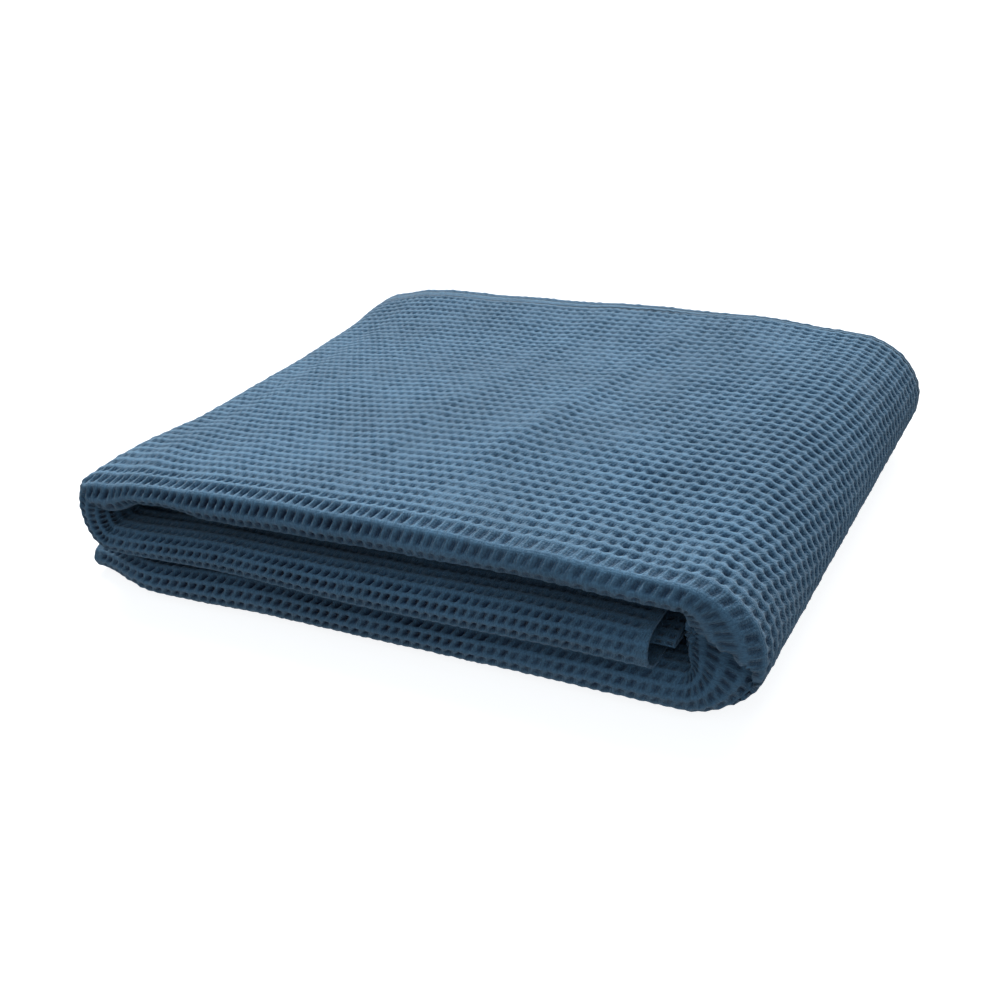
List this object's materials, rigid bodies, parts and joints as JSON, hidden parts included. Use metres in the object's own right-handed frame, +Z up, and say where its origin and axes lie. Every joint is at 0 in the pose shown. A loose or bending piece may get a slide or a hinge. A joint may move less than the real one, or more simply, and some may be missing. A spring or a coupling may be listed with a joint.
{
  "type": "folded waffle weave blanket",
  "caption": "Waffle weave cotton blanket, folded in layers and then in three, with rounded front folds and a soft domed top.",
  "frame": {"origin": "on the floor, under the middle of the folded stack's box", "axes": "+X along the rounded front edge from the left fold to the right fold, +Y from the front to the back edges, +Z up"},
  "size_m": [0.4657, 0.3868, 0.0941],
  "materials": {
    "blanket_cotton": "soft matt waffle weave cotton, blue grey, with a fine fuzz"
  },
  "bodies": {
    "root": {"blanket": "blanket_cotton"}
  },
  "joints": []
}
